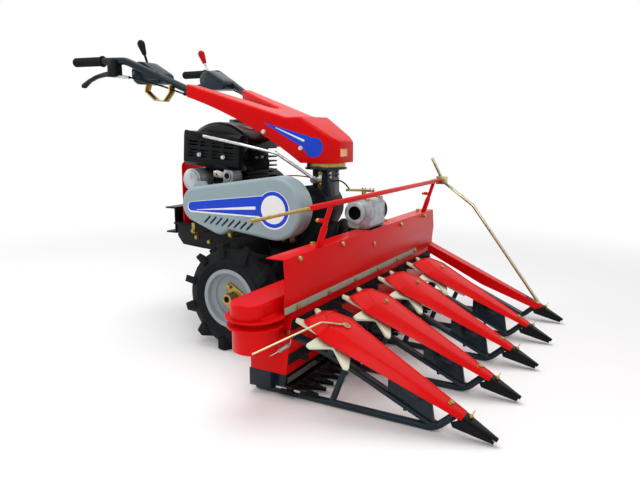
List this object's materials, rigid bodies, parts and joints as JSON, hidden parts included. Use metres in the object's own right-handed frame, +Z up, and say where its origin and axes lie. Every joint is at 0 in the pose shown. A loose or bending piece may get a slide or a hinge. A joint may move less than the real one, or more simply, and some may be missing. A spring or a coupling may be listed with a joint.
{
  "type": "two-wheel tractor mower",
  "caption": "Walk-behind two-wheel tractor with a front crop reaper: lug tyres, belt-driven engine, swivelling handlebar, star wheels and a sliding knife.",
  "frame": {"origin": "on the ground below the middle of the whole machine", "axes": "+X forward to the divider tips, +Y to the machine's left, +Z up"},
  "size_m": [1.8768, 1.526, 1.2082],
  "materials": {
    "red_paint": "gloss enamel",
    "red_moulding": "gloss moulded",
    "black_paint": "semi-gloss enamel",
    "slate_paint": "semi-gloss enamel",
    "tyre_rubber": "moulded lug tyre",
    "rim_paint": "grey enamel",
    "zinc_plate": "yellow zinc plating",
    "cast_alloy": "as cast",
    "black_casting": "painted casting",
    "engine_plastic": "moulded",
    "cover_plastic": "grey moulded",
    "grip_rubber": "ribbed grip",
    "star_plastic": "ivory moulded",
    "belt_rubber": "reinforced belt",
    "knife_steel": "ground steel",
    "strip_paint": "grey enamel",
    "exhaust_steel": "aluminised steel",
    "lever_plastic": "moulded"
  },
  "bodies": {
    "tractor": {"transmission_case": "black_casting", "engine_bed": "black_paint", "engine_block": "cast_alloy", "engine_cowl": "engine_plastic", "muffler_shield": "black_paint", "muffler": "exhaust_steel", "fan_housing": "engine_plastic", "rear_channel": "black_paint", "rear_guard": "red_paint", "belt_cover": "cover_plastic", "column": "black_paint", "shift_rod": "zinc_plate", "header_neck": "black_casting", "header_gearbox": "cast_alloy", "header_body": "red_paint", "deck_drum": "red_paint", "drive_cover": "red_paint", "upper_board": "red_paint", "board_strip": "strip_paint", "guide_bar": "red_paint", "crop_rods": "zinc_plate", "frame_beam": "slate_paint", "skids": "slate_paint", "divider_arms": "black_paint", "cutter_bar": "black_paint", "divider_covers": "red_paint", "divider_tips": "engine_plastic", "conveyor_belts": "belt_rubber"},
    "wheel_right": {"tyre_right": "tyre_rubber", "rim_right": "rim_paint", "hub_right": "zinc_plate"},
    "wheel_left": {"tyre_left": "tyre_rubber", "rim_left": "rim_paint", "hub_left": "zinc_plate"},
    "star_1": {"star_wheel_1": "star_plastic"},
    "star_2": {"star_wheel_2": "star_plastic"},
    "star_3": {"star_wheel_3": "star_plastic"},
    "star_4": {"star_wheel_4": "star_plastic"},
    "knife": {"knife": "knife_steel"},
    "handlebar": {"swivel_bracket": "zinc_plate", "hood": "red_moulding", "handle_tubes": "slate_paint", "grips": "grip_rubber", "lever_clamps": "lever_plastic", "hand_levers": "lever_plastic", "catch": "zinc_plate", "control_cables": "grip_rubber"}
  },
  "joints": [
    {"name": "wheel_right_spin", "type": "hinge", "parent": "tractor", "child": "wheel_right", "pos_m": [-0.13067, -0.202, 0.206], "axis": [0, 1, 0], "continuous": true},
    {"name": "wheel_left_spin", "type": "hinge", "parent": "tractor", "child": "wheel_left", "pos_m": [-0.13067, 0.46, 0.206], "axis": [0, 1, 0], "continuous": true},
    {"name": "star_1_spin", "type": "hinge", "parent": "tractor", "child": "star_1", "pos_m": [0.46008, -0.471, 0.22294], "axis": [0.4602, 0, 0.8878], "continuous": true},
    {"name": "star_2_spin", "type": "hinge", "parent": "tractor", "child": "star_2", "pos_m": [0.46008, -0.171, 0.22294], "axis": [0.4602, 0, 0.8878], "continuous": true},
    {"name": "star_3_spin", "type": "hinge", "parent": "tractor", "child": "star_3", "pos_m": [0.46008, 0.129, 0.22294], "axis": [0.4602, 0, 0.8878], "continuous": true},
    {"name": "star_4_spin", "type": "hinge", "parent": "tractor", "child": "star_4", "pos_m": [0.46008, 0.429, 0.22294], "axis": [0.4602, 0, 0.8878], "continuous": true},
    {"name": "knife_stroke", "type": "slide", "parent": "tractor", "child": "knife", "axis": [0, 1, 0], "range_m": [-0.025, 0.025]},
    {"name": "handlebar_swivel", "type": "hinge", "parent": "tractor", "child": "handlebar", "pos_m": [0.08433, 0.129, 0.69], "axis": [0, 0, 1], "range_deg": [-180, 30]}
  ]
}
